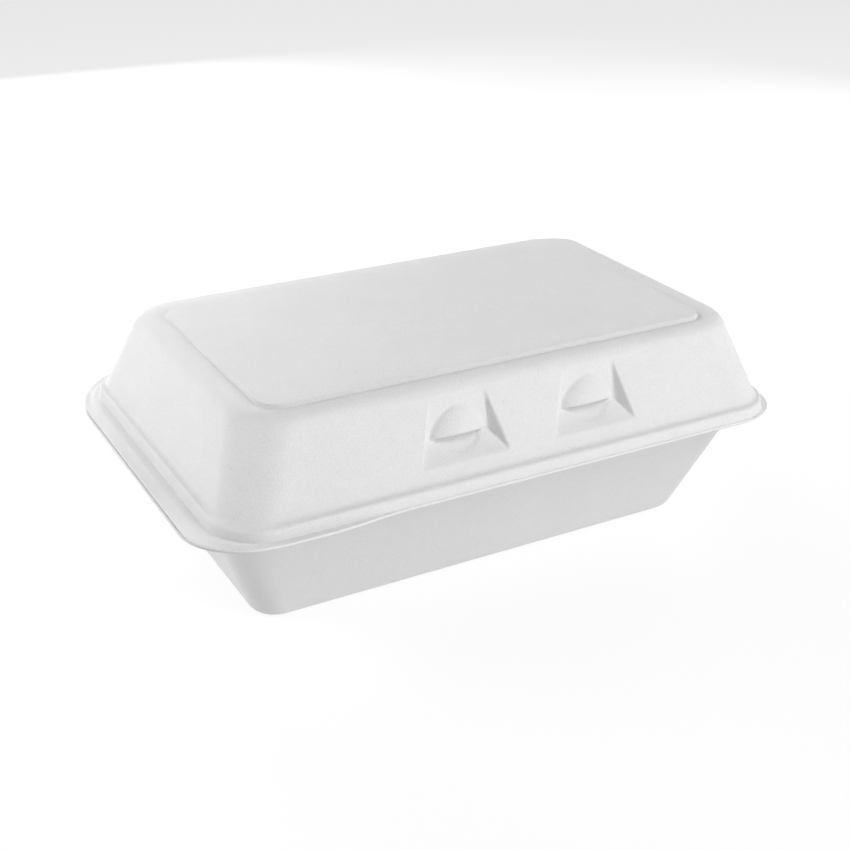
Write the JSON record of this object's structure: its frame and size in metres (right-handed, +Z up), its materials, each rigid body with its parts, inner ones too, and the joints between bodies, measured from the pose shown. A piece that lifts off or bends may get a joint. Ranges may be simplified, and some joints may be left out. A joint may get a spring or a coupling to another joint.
{
  "type": "foam clamshell container",
  "caption": "White foam hinged-lid food container: deep drafted tray, stepped trimmed rim and a raised-panel lid with locking pockets at the front.",
  "frame": {"origin": "middle of the container's box, on the surface it stands on", "axes": "+X along the hinge, the longest way; -Y towards the front with the locks; +Z up, the shortest way"},
  "size_m": [0.2316, 0.1592, 0.0853],
  "materials": {
    "tray_foam": "expanded polystyrene sheet, matte white",
    "lid_foam": "expanded polystyrene sheet, matte white",
    "pressed_foam": "polystyrene sheet pressed thin at the fold, matte white"
  },
  "bodies": {
    "tray": {"tray": "tray_foam", "hinge_strip": "pressed_foam"},
    "lid": {"lid": "lid_foam"}
  },
  "joints": [
    {"name": "lid_hinge", "type": "hinge", "parent": "tray", "child": "lid", "pos_m": [0, 0.07873, 0.0478], "axis": [-1, 0, 0], "range_deg": [0, 180]}
  ]
}
